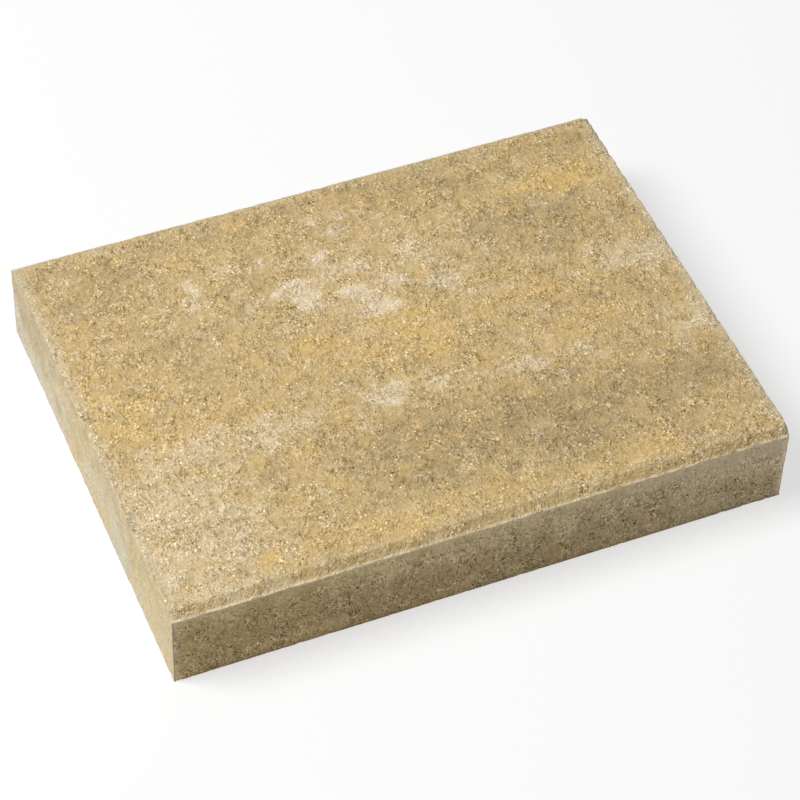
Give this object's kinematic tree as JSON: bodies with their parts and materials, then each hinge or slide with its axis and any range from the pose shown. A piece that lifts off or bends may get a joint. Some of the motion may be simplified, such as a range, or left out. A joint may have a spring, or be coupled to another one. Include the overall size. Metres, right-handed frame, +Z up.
{
  "type": "wall coping stone",
  "caption": "Flat rectangular coping slab of sand-coloured pressed concrete that caps a low garden wall, with chamfered long top edges and square ends.",
  "frame": {"origin": "middle of the bed face, the flat underside that lies on the wall", "axes": "+X along the wall, between the square ends; +Y across the wall, between the chamfered long edges; +Z up, out of the top face"},
  "size_m": [0.33, 0.25, 0.05],
  "materials": {
    "pressed_concrete": "rough pressed concrete in shaded sandstone colours"
  },
  "bodies": {
    "root": {"coping_stone": "pressed_concrete"}
  },
  "joints": []
}
